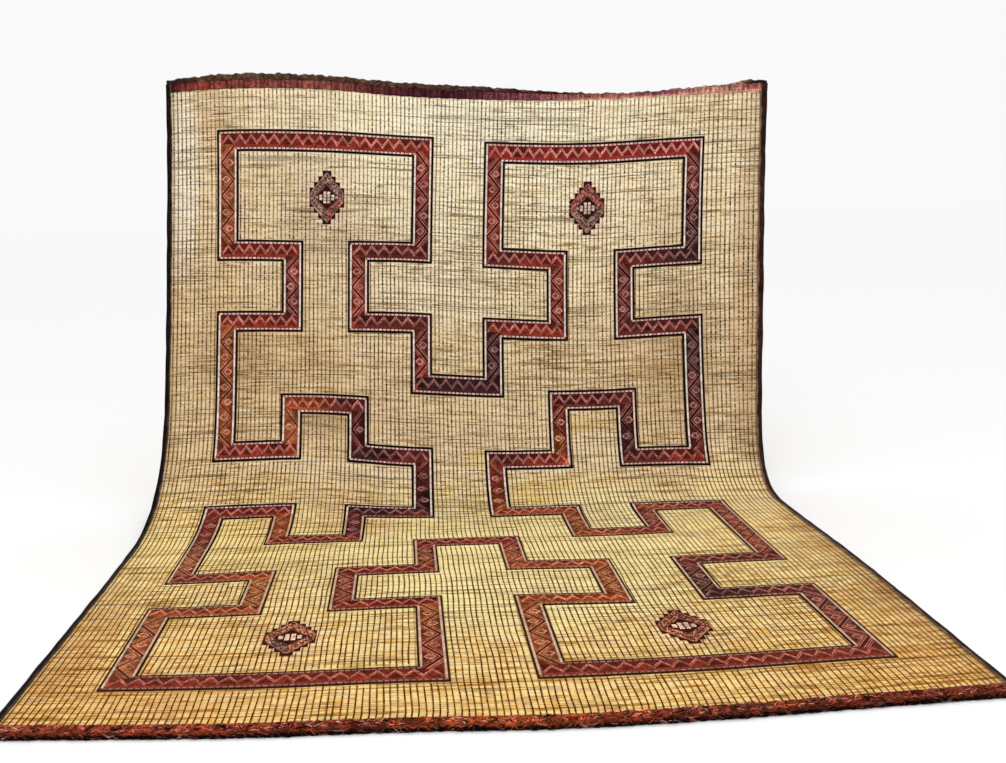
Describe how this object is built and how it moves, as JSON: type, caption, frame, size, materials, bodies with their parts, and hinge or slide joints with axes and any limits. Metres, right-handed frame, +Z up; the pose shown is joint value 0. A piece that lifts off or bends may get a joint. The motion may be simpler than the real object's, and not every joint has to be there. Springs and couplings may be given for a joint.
{
  "type": "reed and leather rug, hung by its top edge",
  "caption": "Large mat of thin reeds bound with leather thongs, a stepped leather meander on its face, its upper half hanging and its lower half on the floor.",
  "frame": {"origin": "the middle of the rug's top edge, where it is held up", "axes": "+Z up, +X to the right along the top edge as the viewer sees the rug, -Y the way its face looks and its lower half runs along the floor"},
  "size_m": [2.7472, 2.3574, 1.8834],
  "materials": {
    "reeds": "Thin straw-coloured reeds laid side by side and crossed by fine dark leather thongs",
    "red_leather": "Dyed red and maroon leather, worn, with a zigzag worked along it and white and black edging",
    "tan_leather": "Pinkish tan leather plaited in steps",
    "dark_leather": "Almost black leather, folded and creased"
  },
  "bodies": {
    "root": {"reed_mat": "reeds", "meander_band": "red_leather", "end_band_top": "red_leather", "end_band_front": "red_leather", "medallion_top_left": "tan_leather", "medallion_top_right": "tan_leather", "medallion_front_left": "tan_leather", "medallion_front_right": "tan_leather", "binding_left": "dark_leather", "binding_right": "dark_leather", "edge_roll_top": "dark_leather", "edge_roll_front": "dark_leather"}
  },
  "joints": []
}
